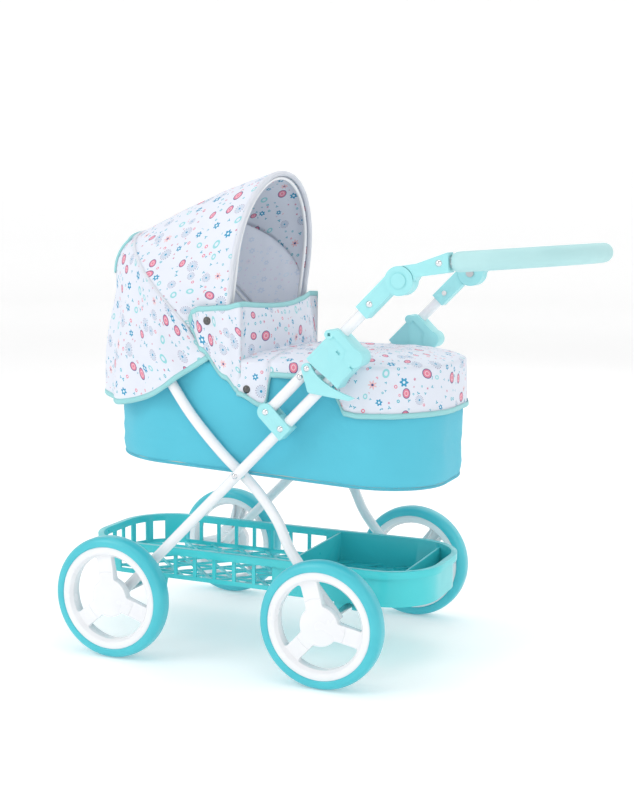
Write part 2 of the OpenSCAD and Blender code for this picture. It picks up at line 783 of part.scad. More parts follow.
module basket() {
    x0 = mid_x + basket_front;
    x1 = mid_x + basket_rear;
    b = basket_b;
    tray_x = mid_x + tray_front;
    rim_h = 10;
    foot_y = 84;
    color("#3FCDD0") {
        difference() {
            union() {
                // walls and rim band
                difference() {
                    translate([0, 0, basket_floor]) linear_extrude(basket_z - basket_floor)
                        plan(x0 + 5, x1 - 5, b - 5, 70);
                    translate([0, 0, basket_floor - 1]) linear_extrude(60)
                        plan(x0 + 5 + wall, x1 - 5 - wall, b - 5 - wall, 70 - wall);
                    // windows in the long walls
                    for (x = [-190:rib_pitch:40]) translate([mid_x + x, -120, 98])
                        cube([rib_pitch - 5, 240, basket_z - rim_h - 98]);
                    // windows in the round front end
                    for (a = [-60:20:60]) translate([x0 + 75, 0, 98]) rotate([0, 0, 180 + a])
                        translate([0, -9, 0]) cube([120, 18, basket_z - rim_h - 98]);
                }
                difference() {
                    translate([0, 0, basket_z - rim_h]) linear_extrude(rim_h)
                        plan(x0, x1, b, 75);
                    translate([0, 0, basket_z - rim_h - 1]) linear_extrude(rim_h + 2)
                        plan(x0 + 5 + wall, x1 - 5 - wall, b - 5 - wall, 70 - wall);
                    translate([0, 0, basket_z - rim_h - 1]) linear_extrude(rim_h - 2)
                        plan(x0 + 2.4, x1 - 2.4, b - 2.4, 72.6);
                }
                // lattice floor
                intersection() {
                    translate([0, 0, basket_floor]) linear_extrude(wall)
                        plan(x0 + 6, x1 - 6, b - 6, 69);
                    union() {
                        for (y = [-66, -22, 22, 66]) translate([x0, y - 2, 80])
                            cube([x1 - x0, 4, 30]);
                        for (k = [0:7], s = [-1, 1]) translate([mid_x - 226 + 44 * k, 0, 80])
                            rotate([0, 0, 45 * s]) translate([-200, -2, 0]) cube([400, 4, 30]);
                    }
                }
                // solid tray with its front wall and divider
                intersection() {
                    translate([0, 0, basket_floor - 3.6]) linear_extrude(60)
                        plan(x0 + 6, x1 - 6, b - 6, 69);
                    union() {
                        translate([tray_x, -b, basket_floor - 3.6])
                            cube([x1 - tray_x, 2 * b, wall]);
                        translate([tray_x, -b, basket_floor - 3.6]) cube([wall, 2 * b, 46]);
                        translate([mid_x + tray_divider, -b, basket_floor - 3.6])
                            cube([wall, 2 * b, 42]);
                    }
                }
                difference() {
                    translate([0, 0, basket_floor - 3.6]) linear_extrude(8)
                        plan(x0 + 5, x1 - 5, b - 5, 70);
                    translate([0, 0, basket_floor - 5]) linear_extrude(60)
                        plan(x0 + 5 + wall, x1 - 5 - wall, b - 5 - wall, 70 - wall);
                    translate([x0 - 10, -200, 60]) cube([tray_x - x0 + 10, 400, 60]);
                }
                // feet that clip over the axles
                both() for (p = [front_axle, rear_axle])
                    slab(foot_y - 4, foot_y)
                        polygon([[p[0] - 21, 74], [p[0] - 23, 93], [p[0] + 31, 93],
                                 [p[0] + 27, 71], [p[0] + 20, 71], [p[0] + 16, 76],
                                 [p[0] - 12, 76]]);
            }
            for (p = [front_axle, rear_axle]) {
                cross_bar(p, -150, 150, axle_d + 0.1);
                translate([p[0] - 3.4, -150, 60]) cube([6.8, 300, axle_z - 60]);
            }
        }
    }
}

rim_front_left();
rim_front_right();
rim_rear_left();
rim_rear_right();
tyre_front_left();
tyre_front_right();
tyre_rear_left();
tyre_rear_right();
axle_front();
axle_rear();
wheel_retainers();
front_spacers();
rear_spacers();
leg_outer_left();
leg_outer_right();
leg_inner_left();
leg_inner_right();
cross_rivets();
cross_washers();
bracket_left();
bracket_right();
bracket_rivets();
handle_pivot_pins();
handle_tube_left();
handle_tube_right();
tube_rivets();
sleeve_left();
sleeve_right();
catch_left();
catch_right();
catch_pins();
catch_springs();
hinge_lower_left();
hinge_lower_right();
hinge_upper_left();
hinge_upper_right();
hinge_lower_rivets();
hinge_upper_rivets();
hinge_bolts();
button_left();
button_right();
lock_gear_left();
lock_gear_right();
button_springs();
handle_bar();
handle_grip();
cot_frame();
cot_shell();
cot_board();
cot_rivets();
hood_bow_front();
hood_bow_rear();
hood_canopy();
hood_curtain();
hood_pins();
apron();
wind_flap();
snaps();
basket();
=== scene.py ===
# Doll pram around its CAD frame: each section below is one piece or one group of like pieces.
import bpy
import math
from mathutils import Matrix, Vector, kdtree, noise


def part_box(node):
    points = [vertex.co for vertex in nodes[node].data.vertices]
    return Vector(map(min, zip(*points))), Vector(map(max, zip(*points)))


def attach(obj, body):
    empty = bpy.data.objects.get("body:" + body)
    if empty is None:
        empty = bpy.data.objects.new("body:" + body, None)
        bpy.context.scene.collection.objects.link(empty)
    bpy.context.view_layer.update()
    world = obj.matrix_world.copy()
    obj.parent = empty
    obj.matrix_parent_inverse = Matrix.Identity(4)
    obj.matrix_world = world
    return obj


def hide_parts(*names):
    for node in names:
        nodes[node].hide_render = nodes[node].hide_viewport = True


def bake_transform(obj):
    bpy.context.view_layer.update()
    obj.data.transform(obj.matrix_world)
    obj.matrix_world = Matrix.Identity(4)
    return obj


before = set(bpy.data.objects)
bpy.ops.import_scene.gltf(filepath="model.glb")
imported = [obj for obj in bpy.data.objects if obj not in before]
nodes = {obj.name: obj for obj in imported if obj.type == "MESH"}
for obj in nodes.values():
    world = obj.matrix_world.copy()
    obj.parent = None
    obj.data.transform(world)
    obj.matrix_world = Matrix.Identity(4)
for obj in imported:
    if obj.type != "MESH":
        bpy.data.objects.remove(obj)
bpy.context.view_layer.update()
bpy.ops.object.select_all(action="DESELECT")


# ---- Studio ----
# A pale seamless floor that curves up far away, soft light from all round, and the camera
# at the height of a standing adult, looking slightly down at the pram's left side.
def shader(name, color, roughness, **sockets):
    """New material with its main shader's constant values set on the shader itself."""
    material = bpy.data.materials.new(name)
    material.use_nodes = True
    main = material.node_tree.nodes["Principled BSDF"]
    main.inputs["Base Color"].default_value = (*color, 1)
    main.inputs["Roughness"].default_value = roughness
    for socket, value in sockets.items():
        main.inputs[socket.replace("_", " ")].default_value = value
    return material


def give(obj, material):
    obj.data.materials.clear()
    obj.data.materials.append(material)
    return obj


bpy.ops.mesh.primitive_circle_add(vertices=96, radius=6, fill_type="NGON")
studio_floor = bpy.context.object
studio_floor.name = "studio_floor"
bpy.ops.object.mode_set(mode="EDIT")
bpy.ops.mesh.select_all(action="SELECT")
for out, up in ((1.06, 0.1), (1.05, 0.35), (1.02, 1.0), (1.0, 1.6)):
    bpy.ops.mesh.extrude_region_move(TRANSFORM_OT_translate={"value": (0, 0, up)})
    bpy.ops.transform.resize(value=(out, out, 1), center_override=(0, 0, 0))
bpy.ops.mesh.delete(type="ONLY_FACE")
bpy.ops.object.mode_set(mode="OBJECT")
bpy.ops.object.shade_smooth()
give(studio_floor, shader("studio_paper", (0.93, 0.93, 0.93), 0.9, Emission_Color=(1, 1, 1, 1),
                          Emission_Strength=0.21))

for name, place, size, power in (
    ("key_light", (-1.9, -2.3, 2.4), 1.8, 30),
    ("fill_light", (2.3, -2.2, 1.5), 2.2, 12),
    ("top_light", (0.1, 0.2, 3.1), 2.8, 24),
    ("back_light", (0.6, 2.6, 2.0), 2.4, 11),
):
    bpy.ops.object.light_add(type="AREA", location=place)
    lamp = bpy.context.object
    lamp.name = name
    lamp.data.size = size
    lamp.data.energy = power
    lamp.rotation_euler = (Vector((0, 0, 0.3)) - Vector(place)).to_track_quat("-Z", "Y").to_euler()
world = bpy.data.worlds.new("soft_white")
world.use_nodes = True
world.node_tree.nodes["Background"].inputs["Color"].default_value = (1, 1, 1, 1)
world.node_tree.nodes["Background"].inputs["Strength"].default_value = 0.63
bpy.context.scene.world = world
bpy.context.scene.view_settings.view_transform = "Standard"

camera_azimuth = math.radians(22.958)
camera_elevation = math.radians(7.859)
camera_roll = math.radians(0.557)
look = Vector((-math.sin(camera_azimuth) * math.cos(camera_elevation),
               math.cos(camera_azimuth) * math.cos(camera_elevation),
               -math.sin(camera_elevation)))
level = Vector((math.cos(camera_azimuth), math.sin(camera_azimuth), 0))
above = level.cross(look)
side = math.cos(camera_roll) * level + math.sin(camera_roll) * above
top = math.cos(camera_roll) * above - math.sin(camera_roll) * level
bpy.ops.object.camera_add(location=(0.6766, -1.6785, 0.5846))
camera = bpy.context.object
camera.rotation_euler = Matrix((side, top, -look)).transposed().to_euler()
camera.data.sensor_width = 36
camera.data.lens = 59.31
bpy.context.scene.camera = camera


# ---- Wheels ----
# Four alike: one white glossy moulding with three wide spokes that run into a smooth domed
# hub, and a soft turquoise tyre pressed round it, with fine wavy leaves moulded on its shoulders.
def node_group(name, inputs, outputs):
    """Empty shader node group with the named sockets, and its two end nodes."""
    group = bpy.data.node_groups.new(name, "ShaderNodeTree")
    for socket, kind, value in inputs:
        made = group.interface.new_socket(socket, in_out="INPUT", socket_type="NodeSocket" + kind)
        if value is not None:
            made.default_value = value
    for socket, kind in outputs:
        group.interface.new_socket(socket, in_out="OUTPUT", socket_type="NodeSocket" + kind)
    return group, group.nodes.new("NodeGroupInput"), group.nodes.new("NodeGroupOutput")


def step(tree, operation, *values):
    """Math node in a tree; each value is a number or another node's output."""
    node = tree.nodes.new("ShaderNodeMath")
    node.operation = operation
    for socket, value in zip(node.inputs, values):
        if isinstance(value, (int, float)):
            socket.default_value = value
        else:
            tree.links.new(value, socket)
    return node.outputs[0]


def mixed(tree, share, first, second):
    """Colour mix node; the colours are values or outputs."""
    node = tree.nodes.new("ShaderNodeMix")
    node.data_type = "RGBA"
    for socket, value in ((node.inputs[0], share), (node.inputs[6], first), (node.inputs[7], second)):
        if isinstance(value, (tuple, float, int)):
            socket.default_value = (*value, 1) if isinstance(value, tuple) else value
        else:
            tree.links.new(value, socket)
    return node.outputs[2]


def bumped(tree, height, depth, normal=None):
    node = tree.nodes.new("ShaderNodeBump")
    node.inputs["Distance"].default_value = depth
    tree.links.new(height, node.inputs["Height"])
    if normal:
        tree.links.new(normal, node.inputs["Normal"])
    return node


grain_group, grain_in, grain_out = node_group(
    "moulded_grain",
    (("Place", "Vector", None), ("Color", "Color", (1, 1, 1, 1)), ("Shade", "Color", (1, 1, 1, 1)),
     ("Grain", "Float", 700.0), ("Depth", "Float", 0.00004), ("Gloss", "Float", 0.3)),
    (("Color", "Color"), ("Roughness", "Float"), ("Normal", "Vector")))
fine = grain_group.nodes.new("ShaderNodeTexNoise")
fine.inputs["Detail"].default_value = 4
grain_group.links.new(grain_in.outputs["Place"], fine.inputs["Vector"])
grain_group.links.new(grain_in.outputs["Grain"], fine.inputs["Scale"])
broad = grain_group.nodes.new("ShaderNodeTexNoise")
broad.inputs["Scale"].default_value = 22
broad.inputs["Detail"].default_value = 3
grain_group.links.new(grain_in.outputs["Place"], broad.inputs["Vector"])
grain_bump = bumped(grain_group, fine.outputs["Fac"], 0.001)
grain_group.links.new(grain_in.outputs["Depth"], grain_bump.inputs["Distance"])
patchy = step(grain_group, "MULTIPLY_ADD", broad.outputs["Fac"], 2.2, -0.6)
grain_group.links.new(mixed(grain_group, patchy, grain_in.outputs["Color"], grain_in.outputs["Shade"]),
                      grain_out.inputs["Color"])
grain_group.links.new(
    step(grain_group, "ADD", grain_in.outputs["Gloss"],
         step(grain_group, "MULTIPLY_ADD", broad.outputs["Fac"], 0.16, -0.08)),
    grain_out.inputs["Roughness"])
grain_group.links.new(grain_bump.outputs["Normal"], grain_out.inputs["Normal"])


def moulded(name, color, shade, gloss, grain=700.0, depth=0.00003, **sockets):
    """Material with the moulded grain: colour patches, gloss patches and a fine surface grain."""
    material = shader(name, color, gloss, **sockets)
    tree = material.node_tree
    group = tree.nodes.new("ShaderNodeGroup")
    group.node_tree = grain_group
    place = tree.nodes.new("ShaderNodeTexCoord")
    tree.links.new(place.outputs["Object"], group.inputs["Place"])
    group.inputs["Color"].default_value = (*color, 1)
    group.inputs["Shade"].default_value = (*shade, 1)
    group.inputs["Grain"].default_value = grain
    group.inputs["Depth"].default_value = depth
    group.inputs["Gloss"].default_value = gloss
    main = tree.nodes["Principled BSDF"]
    tree.links.new(group.outputs["Color"], main.inputs["Base Color"])
    tree.links.new(group.outputs["Roughness"], main.inputs["Roughness"])
    tree.links.new(group.outputs["Normal"], main.inputs["Normal"])
    return material


def edit(obj):
    """Goes into edit mode on one object, with all of it selected."""
    bpy.ops.object.select_all(action="DESELECT")
    obj.select_set(True)
    bpy.context.view_layer.objects.active = obj
    bpy.ops.object.mode_set(mode="EDIT")
    bpy.ops.mesh.select_all(action="SELECT")


def apply_modifiers(obj):
    bpy.ops.object.select_all(action="DESELECT")
    obj.select_set(True)
    bpy.context.view_layer.objects.active = obj
    for modifier in list(obj.modifiers):
        bpy.ops.object.modifier_apply(modifier=modifier.name)
    return obj


def bevelled(obj, width, segments=3, angle=35):
    """Rounds the sharp edges of a piece and shades it smooth."""
    modifier = obj.modifiers.new("edges", "BEVEL")
    modifier.width = width
    modifier.segments = segments
    modifier.limit_method = "ANGLE"
    modifier.angle_limit = math.radians(angle)
    apply_modifiers(obj)
    bpy.ops.object.shade_smooth_by_angle(angle=math.radians(38))
    return obj


def spun(name, outline, steps):
    """A closed outline of (radius, across) points, turned round the Y axis."""
    bpy.ops.mesh.primitive_circle_add(vertices=len(outline), radius=1)
    obj = bpy.context.object
    obj.name = name
    for vertex, (radius, across) in zip(obj.data.vertices, outline):
        vertex.co = (radius, across, 0)
    edit(obj)
    bpy.ops.mesh.spin(steps=steps, angle=2 * math.pi, center=(0, 0, 0), axis=(0, 1, 0))
    bpy.ops.mesh.select_all(action="SELECT")
    bpy.ops.mesh.remove_doubles(threshold=0.00002)
    bpy.ops.mesh.normals_make_consistent(inside=False)
    bpy.ops.object.mode_set(mode="OBJECT")
    return obj


def plate(name, outline, y0, y1):
    """A side-view outline of (x, z) points, extruded across from y0 to y1."""
    bpy.ops.mesh.primitive_circle_add(vertices=len(outline), radius=1, fill_type="NGON")
    obj = bpy.context.object
    obj.name = name
    for vertex, (x, z) in zip(obj.data.vertices, outline):
        vertex.co = (x, y0, z)
    edit(obj)
    bpy.ops.mesh.extrude_region_move(TRANSFORM_OT_translate={"value": (0, y1 - y0, 0)})
    bpy.ops.mesh.select_all(action="SELECT")
    bpy.ops.mesh.normals_make_consistent(inside=False)
    bpy.ops.object.mode_set(mode="OBJECT")
    return obj


def rounded(corners, turns=6):
    """Outline through (x, z, radius) corners, each rounded by its radius."""
    outline = []
    for i, (x, z, radius) in enumerate(corners):
        here = Vector((x, z))
        before = Vector(corners[i - 1][:2]) - here
        after = Vector(corners[(i + 1) % len(corners)][:2]) - here
        if radius <= 0:
            outline.append((x, z))
            continue
        reach = min(radius / math.tan(before.angle(after) / 2), before.length * 0.49, after.length * 0.49)
        first = here + before.normalized() * reach
        last = here + after.normalized() * reach
        for k in range(turns + 1):
            t = k / turns
            outline.append(tuple((1 - t) ** 2 * first + 2 * t * (1 - t) * here + t * t * last))
    return outline


def cut(obj, cutters):
    """Takes the cutters out of a piece and removes them."""
    for cutter in cutters:
        modifier = obj.modifiers.new("cut", "BOOLEAN")
        modifier.operation = "DIFFERENCE"
        modifier.solver = "EXACT"
        modifier.object = cutter
    apply_modifiers(obj)
    for cutter in cutters:
        bpy.data.objects.remove(cutter)
    return obj


def copied(obj, name, matrix):
    """A copy with its own mesh, moved by the matrix; a mirrored copy is turned right side out."""
    copy = obj.copy()
    copy.data = obj.data.copy()
    copy.name = name
    bpy.context.collection.objects.link(copy)
    copy.data.transform(matrix)
    if matrix.determinant() < 0:
        copy.data.flip_normals()
    return copy


def polar(radius, degrees):
    return radius * math.cos(math.radians(degrees)), radius * math.sin(math.radians(degrees))


rim_outline = [
    (0.0, 0.0128), (0.007, 0.0125), (0.014, 0.0117), (0.021, 0.0104), (0.028, 0.0088),
    (0.0336, 0.0079), (0.0345, 0.0076), (0.0348, 0.0070), (0.0354, 0.0070), (0.0357, 0.0075),
    (0.044, 0.0067), (0.053, 0.0062), (0.0565, 0.0070), (0.0588, 0.0096), (0.0604, 0.0122),
    (0.0622, 0.0129), (0.0680, 0.0129), (0.0698, 0.0120), (0.0698, -0.0120), (0.0680, -0.0129),
    (0.0625, -0.0129), (0.0606, -0.0120), (0.0596, -0.0040), (0.0570, -0.0022), (0.0200, -0.0022),
    (0.0170, -0.0030), (0.0165, -0.0168), (0.0155, -0.0172), (0.0041, -0.0172), (0.0041, 0.0040),
    (0.0, 0.0040)]
wheel_master = spun("wheel_master", rim_outline, 96)
spoke_half = 0.0112
window_outer = 0.0572
window_inner = 0.0262
outer_turn = 60 - math.degrees(math.asin(spoke_half / window_outer))
inner_turn = 60 - math.degrees(math.asin(spoke_half / window_inner))
window_corners = [(*polar(window_outer, outer_turn * k / 6), 0.009 if abs(k) == 6 else 0)
                  for k in range(-6, 7)]
window_corners += [(*polar(window_inner, inner_turn * k / 3), 0.008 if abs(k) == 3 else 0)
                   for k in range(3, -4, -1)]
window = plate("window", rounded(window_corners), -0.03, 0.03)
cut(wheel_master, [copied(window, "window_%d" % k, Matrix.Rotation(math.radians(60 + 120 * k), 4, "Y"))
                   for k in range(3)])
bpy.data.objects.remove(window)
bevelled(wheel_master, 0.0011)
rib_master = plate("rib_master", rounded([(0.016, -0.0008, 0), (0.058, -0.0008, 0),
                                          (0.058, 0.0008, 0), (0.016, 0.0008, 0)]), -0.0085, -0.0015)
bevelled(rib_master, 0.0005, 2)

tyre_half = [(0.0696, 0.0124), (0.0702, 0.0134), (0.0716, 0.0138), (0.0745, 0.0138), (0.0772, 0.0132),
             (0.0794, 0.0118), (0.0810, 0.0098), (0.0820, 0.0072), (0.0825, 0.0040), (0.0825, 0.0012)]
tyre_master = spun("tyre_master", tyre_half + [(r, -y) for r, y in reversed(tyre_half)], 120)
bpy.ops.object.shade_smooth()


def wheel_uv(obj):
    """Map in metres: round the tyre, and across it from the middle of its tread."""
    layer = obj.data.uv_layers.new(name="round_the_tyre")
    for face in obj.data.polygons:
        turns = [math.atan2(obj.data.vertices[obj.data.loops[i].vertex_index].co.z,
                            obj.data.vertices[obj.data.loops[i].vertex_index].co.x)
                 for i in face.loop_indices]
        for i, turn in zip(face.loop_indices, turns):
            co = obj.data.vertices[obj.data.loops[i].vertex_index].co
            if max(turns) - turn > math.pi:
                turn += 2 * math.pi
            drop = 0.0825 - math.hypot(co.x, co.z)
            layer.data[i].uv = (turn * 0.0825, math.copysign(abs(co.y) + drop, co.y))


wheel_uv(tyre_master)

wheel_white = moulded("wheel_white", (0.86, 0.87, 0.89), (0.80, 0.81, 0.84), 0.26, 500,
                      Coat_Weight=0.25, Coat_Roughness=0.15)
tyre_blue = moulded("tyre_turquoise", (0.072, 0.56, 0.64), (0.05, 0.49, 0.58), 0.36, 900,
                    Coat_Weight=0.15, Coat_Roughness=0.3)
tree = tyre_blue.node_tree
tyre_place = tree.nodes.new("ShaderNodeUVMap")
tyre_split = tree.nodes.new("ShaderNodeSeparateXYZ")
tree.links.new(tyre_place.outputs["UV"], tyre_split.inputs["Vector"])
round_it, across_it = tyre_split.outputs["X"], step(tree, "ABSOLUTE", tyre_split.outputs["Y"])
sway = step(tree, "MULTIPLY", step(tree, "SINE", step(tree, "MULTIPLY", across_it, 900)), 1.6)
leaves = step(tree, "SINE", step(tree, "MULTIPLY_ADD", round_it, 1350, sway))
shoulder = step(tree, "MULTIPLY", step(tree, "GREATER_THAN", across_it, 0.0045),
                step(tree, "LESS_THAN", across_it, 0.0185))
tyre_main = tree.nodes["Principled BSDF"]
grain_normal = tyre_main.inputs["Normal"].links[0].from_socket
leaf_bump = bumped(tree, step(tree, "MULTIPLY", leaves, shoulder), 0.00022, grain_normal)
tree.links.new(leaf_bump.outputs["Normal"], tyre_main.inputs["Normal"])

spoke_turns = {"front_left": 100, "front_right": 75, "rear_left": 107, "rear_right": 52}
for place, turn in spoke_turns.items():
    low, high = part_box("rim_" + place)
    outwards = 1 if place.endswith("right") else -1
    hub = Vector(((low.x + high.x) / 2, outwards * 0.1787, (low.z + high.z) / 2))
    there = Matrix.Translation(hub) @ Matrix.Rotation(-math.radians(turn), 4, "Y")
    there = there @ Matrix.Diagonal((1, outwards, 1, 1))
    wheel = copied(wheel_master, "wheel_" + place, there)
    ribs = [copied(rib_master, "rib", there @ Matrix.Rotation(math.radians(120 * k + a), 4, "Y"))
            for k in range(3) for a in (-7, 7)]
    bpy.ops.object.select_all(action="DESELECT")
    for piece in ribs + [wheel]:
        piece.select_set(True)
    bpy.context.view_layer.objects.active = wheel
    bpy.ops.object.join()
    give(wheel, wheel_white)
    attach(wheel, "wheel_" + place)
    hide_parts("rim_" + place)
    tyre = copied(tyre_master, "tread_" + place, there)
    give(tyre, tyre_blue)
    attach(tyre, "wheel_" + place)
    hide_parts("tyre_" + place)
for master in (wheel_master, tyre_master, rib_master):
    bpy.data.objects.remove(master)


# ---- Axles, spacers and other plain metal ----
# Two plain steel rods run across under the basket; white tubes keep the wheels off the legs.
# Springs, screws and the hoop of the cot are the same bright steel.
def finish_nodes(material, *names):
    """A CAD piece keeps its shape and takes this finish."""
    for name in names:
        give(nodes[name], material)


steel = moulded("bright_steel", (0.62, 0.63, 0.65), (0.50, 0.51, 0.53), 0.3, 1200, 0.00001, Metallic=1.0)
finish_nodes(steel, "axle_front", "axle_rear", "wheel_retainers", "catch_springs", "button_springs",
             "hinge_bolts", "cot_frame", "handle_bar")
finish_nodes(wheel_white, "front_spacers", "rear_spacers")

# ---- Frame tubes ----
# Steel tubes with a glossy white coat. The outer legs and the handle tubes are straight; each
# inner leg is one tube bent into a long S from the cot down to the rear axle.
def tube(name, points, radius, ends=None, ring=5):
    """Round tube through points; ends gives a radius share at the first and last points."""
    curve = bpy.data.curves.new(name, "CURVE")
    curve.dimensions = "3D"
    curve.bevel_depth = radius
    curve.bevel_resolution = ring
    curve.use_fill_caps = True
    spline = curve.splines.new("POLY")
    spline.points.add(len(points) - 1)
    for i, (point, place) in enumerate(zip(spline.points, points)):
        point.co = (*place, 1)
        if ends:
            point.radius = ends(i / (len(points) - 1))
    made = bpy.data.objects.new(name, curve)
    bpy.context.collection.objects.link(made)
    bpy.ops.object.select_all(action="DESELECT")
    made.select_set(True)
    bpy.context.view_layer.objects.active = made
    bpy.ops.object.convert(target="MESH")
    obj = bpy.context.object
    obj.name = name
    bpy.ops.object.shade_smooth_by_angle(angle=math.radians(50))
    return obj


def wrap_map(obj, line, radius):
    """Map in metres along and round a tube that follows the line."""
    finder = kdtree.KDTree(len(line))
    lengths = [0.0]
    for i, place in enumerate(line):
        finder.insert(place, i)
        if i:
            lengths.append(lengths[-1] + (place - line[i - 1]).length)
    finder.balance()
    layer = obj.data.uv_layers.new(name="cloth")
    for loop in obj.data.loops:
        place = obj.data.vertices[loop.vertex_index].co
        nearest, i, _ = finder.find(place)
        away = place - nearest
        flat = math.hypot(away.x, away.y)
        layer.data[loop.index].uv = (lengths[i], radius * math.atan2(away.z, flat))


def smooth_line(knots, each=12):
    """Points on one smooth curve through the knots."""
    knots = [Vector(k) for k in knots]
    ends = [2 * knots[0] - knots[1]] + knots + [2 * knots[-1] - knots[-2]]
    line = []
    for a, b, c, d in zip(ends, ends[1:], ends[2:], ends[3:]):
        for k in range(each):
            t = k / each
            line.append(0.5 * (2 * b + (c - a) * t + (2 * a - 5 * b + 4 * c - d) * t ** 2
                               + (3 * b - a - 3 * c + d) * t ** 3))
    return line + [knots[-1]]


def round_end(t):
    """Share of a tube's radius that closes both of its ends with a dome."""
    edge = min(t, 1 - t)
    return 0.35 if edge < 0.001 else 1.0


white_paint = moulded("white_paint", (0.87, 0.88, 0.90), (0.82, 0.83, 0.86), 0.24, 350, 0.00002,
                      Coat_Weight=0.35, Coat_Roughness=0.12)
finish_nodes(white_paint, "leg_outer_left", "leg_outer_right", "handle_tube_left", "handle_tube_right",
             "hood_bow_front", "hood_bow_rear")
leg_low, leg_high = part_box("leg_inner_right")
leg_knots = [(-0.209, 0.397), (-0.191, 0.3735), (-0.158, 0.3285), (-0.115, 0.283), (-0.067, 0.2405),
             (-0.034, 0.2000), (-0.0135, 0.1600), (0.0155, 0.1235), (0.0504, 0.0825), (0.0558, 0.0760)]
for place, across in (("left", -1), ("right", 1)):
    leg_y = across * (leg_low.y + leg_high.y) / 2
    leg = tube("bent_leg_" + place, smooth_line([(x, leg_y, z) for x, z in leg_knots]), 0.007, round_end, 9)
    give(leg, white_paint)
    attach(leg, "chassis")
    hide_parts("leg_inner_" + place)


# ---- Rivets ----
# Domed chrome rivets hold every joint of the frame; the snaps and the hood's two pins are darker.
chrome = moulded("rivet_chrome", (0.78, 0.79, 0.81), (0.66, 0.67, 0.70), 0.12, 600, 0.00001, Metallic=1.0)
finish_nodes(chrome, "cross_rivets", "bracket_rivets", "handle_pivot_pins", "tube_rivets", "catch_pins",
             "hinge_lower_rivets", "hinge_upper_rivets", "cot_rivets")
gunmetal = moulded("snap_gunmetal", (0.16, 0.155, 0.15), (0.10, 0.10, 0.10), 0.28, 900, 0.00001, Metallic=1.0)
finish_nodes(gunmetal, "snaps", "hood_pins")


# ---- Light aqua mouldings ----
# Brackets, lock sleeves, catches, hinge halves and buttons are satin aqua plastic, moulded with
# rounded edges, so each one is its CAD shape with those edges put on.
def softened(node, name, width, segments=2):
    """The CAD solid's shape as one clean mesh with rounded edges."""
    obj = nodes[node].copy()
    obj.data = nodes[node].data.copy()
    obj.name = name
    obj.parent = None
    obj.matrix_world = Matrix.Identity(4)
    bpy.context.collection.objects.link(obj)
    edit(obj)
    bpy.ops.mesh.remove_doubles(threshold=0.00002)
    bpy.ops.mesh.dissolve_limited(angle_limit=math.radians(0.6))
    bpy.ops.object.mode_set(mode="OBJECT")
    return bevelled(obj, width, segments, 28)


aqua = moulded("aqua_plastic", (0.355, 0.76, 0.79), (0.32, 0.72, 0.76), 0.42, 800, 0.00004)
finish_nodes(aqua, "cross_washers", "lock_gear_left", "lock_gear_right")
body_of_part = {"bracket": "chassis", "sleeve": "handle_frame", "hinge_lower": "handle_frame",
                "hinge_upper": "handle_loop", "catch": "catch_%s_side", "button": "button_and_gear_%s"}
edge_of_part = {"bracket": 0.0012, "sleeve": 0.0009, "hinge_lower": 0.0012, "hinge_upper": 0.0016,
                "catch": 0.0007, "button": 0.0010}
for place in ("left", "right"):
    for part, width in edge_of_part.items():
        node = "%s_%s" % (part, place)
        piece = give(softened(node, "%s_moulding_%s" % (part, place), width), aqua)
        body = body_of_part[part]
        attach(piece, body % place if "%" in body else body)
        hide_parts(node)


# ---- Foam grip ----
# A soft pale foam sleeve pushed over the bent handle bar, its ends rounded against the hinge arms.
def loop_point(degrees, radius):
    """Place on the handle's half ring, 0 at its far end, in the tilted plane of the loop."""
    tilt = math.radians(4.4)
    along = radius * math.cos(math.radians(degrees))
    return Vector((0.2 + along * math.cos(tilt), radius * math.sin(math.radians(degrees)),
                   0.5375 + along * math.sin(tilt)))


foam = moulded("grip_foam", (0.46, 0.73, 0.745), (0.42, 0.69, 0.705), 0.62, 1500, 0.00018)
grip_steps = 90
grip_line = [loop_point(-89 + 178 * k / grip_steps, 0.148) for k in range(grip_steps + 1)]
grip_share = {0: 0.80, 1: 0.97, grip_steps - 1: 0.97, grip_steps: 0.80}
grip = tube("foam_grip", grip_line, 0.0125, lambda t: grip_share.get(round(t * grip_steps), 1.0), 11)
give(grip, foam)
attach(grip, "handle_loop")
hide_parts("handle_grip")



# ---- Cot ----
# A deep oval tub of plain turquoise polyester on a steel hoop, soft enough to show a few broad
# folds, with a piped seam round its stiff bottom. A thin board lies inside.
weave_group, weave_in, weave_out = node_group(
    "woven_cloth",
    (("Map", "Vector", None), ("Color", "Color", (1, 1, 1, 1)), ("Thread", "Float", 0.0007),
     ("Depth", "Float", 0.0001)),
    (("Color", "Color"), ("Roughness", "Float"), ("Normal", "Vector")))
weave_split = weave_group.nodes.new("ShaderNodeSeparateXYZ")
weave_group.links.new(weave_in.outputs["Map"], weave_split.inputs["Vector"])
per_thread = step(weave_group, "DIVIDE", math.pi, weave_in.outputs["Thread"])
warp = step(weave_group, "SINE", step(weave_group, "MULTIPLY", weave_split.outputs["X"], per_thread))
weft = step(weave_group, "SINE", step(weave_group, "MULTIPLY", weave_split.outputs["Y"], per_thread))
crossing = step(weave_group, "MULTIPLY", warp, weft)
weave_noise = weave_group.nodes.new("ShaderNodeTexNoise")
weave_noise.inputs["Scale"].default_value = 14
weave_noise.inputs["Detail"].default_value = 5
weave_group.links.new(weave_in.outputs["Map"], weave_noise.inputs["Vector"])
weave_bump = bumped(weave_group, crossing, 0.0001)
weave_group.links.new(weave_in.outputs["Depth"], weave_bump.inputs["Distance"])
crease_bump = bumped(weave_group, weave_noise.outputs["Fac"], 0.006, weave_bump.outputs["Normal"])
crease_bump.inputs["Strength"].default_value = 0.35
darker = weave_group.nodes.new("ShaderNodeHueSaturation")
darker.inputs["Value"].default_value = 0.9
weave_group.links.new(weave_in.outputs["Color"], darker.inputs["Color"])
thread_share = step(weave_group, "MULTIPLY_ADD", crossing, -0.28,
                    step(weave_group, "MULTIPLY", weave_noise.outputs["Fac"], 0.5))
